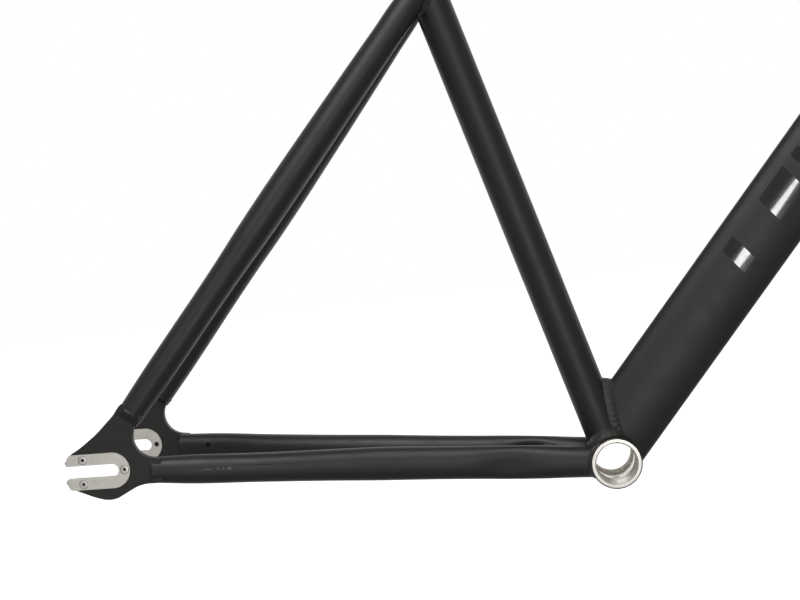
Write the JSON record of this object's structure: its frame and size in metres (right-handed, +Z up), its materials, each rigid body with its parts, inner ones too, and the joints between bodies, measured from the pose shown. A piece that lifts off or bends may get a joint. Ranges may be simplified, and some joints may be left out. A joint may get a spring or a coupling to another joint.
{
  "type": "track bicycle frame",
  "caption": "Bare welded aluminium track bicycle frame with a deep down tube, curved chainstays, slender seatstays and rear-facing axle slots.",
  "frame": {"origin": "centre of the bottom bracket shell, on the crank axis", "axes": "+X forward, +Y to the rider's left, +Z up"},
  "size_m": [0.9027, 0.143, 0.5684],
  "materials": {
    "frame_paint": "matte black paint with a fine grain, over welded aluminium; gloss black graphics",
    "machined_aluminium": "bare machined aluminium with fine turning marks; the outside is painted matte black",
    "stainless_steel": "blasted stainless steel, slightly warm",
    "black_anodised": "satin black anodised"
  },
  "bodies": {
    "frame": {"bb_shell": "machined_aluminium", "seat_tube": "frame_paint", "down_tube": "frame_paint", "top_tube": "frame_paint", "head_tube": "frame_paint", "chainstay_right": "frame_paint", "chainstay_left": "frame_paint", "seatstay_right": "frame_paint", "seatstay_left": "frame_paint", "dropout_right": "frame_paint", "dropout_left": "frame_paint", "insert_outer_right": "stainless_steel", "insert_outer_left": "stainless_steel", "insert_inner_right": "stainless_steel", "insert_inner_left": "stainless_steel", "insert_screw_upper_right": "stainless_steel", "insert_screw_lower_right": "stainless_steel", "insert_screw_front_right": "stainless_steel", "insert_screw_upper_left": "stainless_steel", "insert_screw_lower_left": "stainless_steel", "insert_screw_front_left": "stainless_steel", "chainstay_bridge": "frame_paint", "seatstay_bridge": "frame_paint", "weld_shell_seat_tube": "frame_paint", "weld_shell_down_tube": "frame_paint", "weld_seat_down_tube": "frame_paint", "weld_seat_top_tube": "frame_paint", "weld_head_top_tube": "frame_paint", "weld_head_down_tube": "frame_paint", "weld_shell_chainstay_right": "frame_paint", "weld_shell_chainstay_left": "frame_paint", "weld_seat_tube_seatstay_right": "frame_paint", "weld_seat_tube_seatstay_left": "frame_paint", "weld_dropout_chainstay_right": "frame_paint", "weld_dropout_chainstay_left": "frame_paint", "weld_dropout_seatstay_right": "frame_paint", "weld_dropout_seatstay_left": "frame_paint", "weld_chainstay_bridge_right": "frame_paint", "weld_chainstay_bridge_left": "frame_paint", "weld_seatstay_bridge_right": "frame_paint", "weld_seatstay_bridge_left": "frame_paint"},
    "seat_collar": {"seat_collar": "black_anodised"},
    "clamp_bolt": {"clamp_bolt": "stainless_steel"}
  },
  "joints": [
    {"name": "seat_collar_turn", "type": "hinge", "parent": "frame", "child": "seat_collar", "pos_m": [-0.12887, 0, 0.48776], "axis": [-0.2554, 0, 0.9668], "continuous": true},
    {"name": "clamp_bolt_turn", "type": "hinge", "parent": "seat_collar", "child": "clamp_bolt", "pos_m": [-0.15256, 0, 0.4815], "axis": [0, 1, 0], "continuous": true}
  ]
}
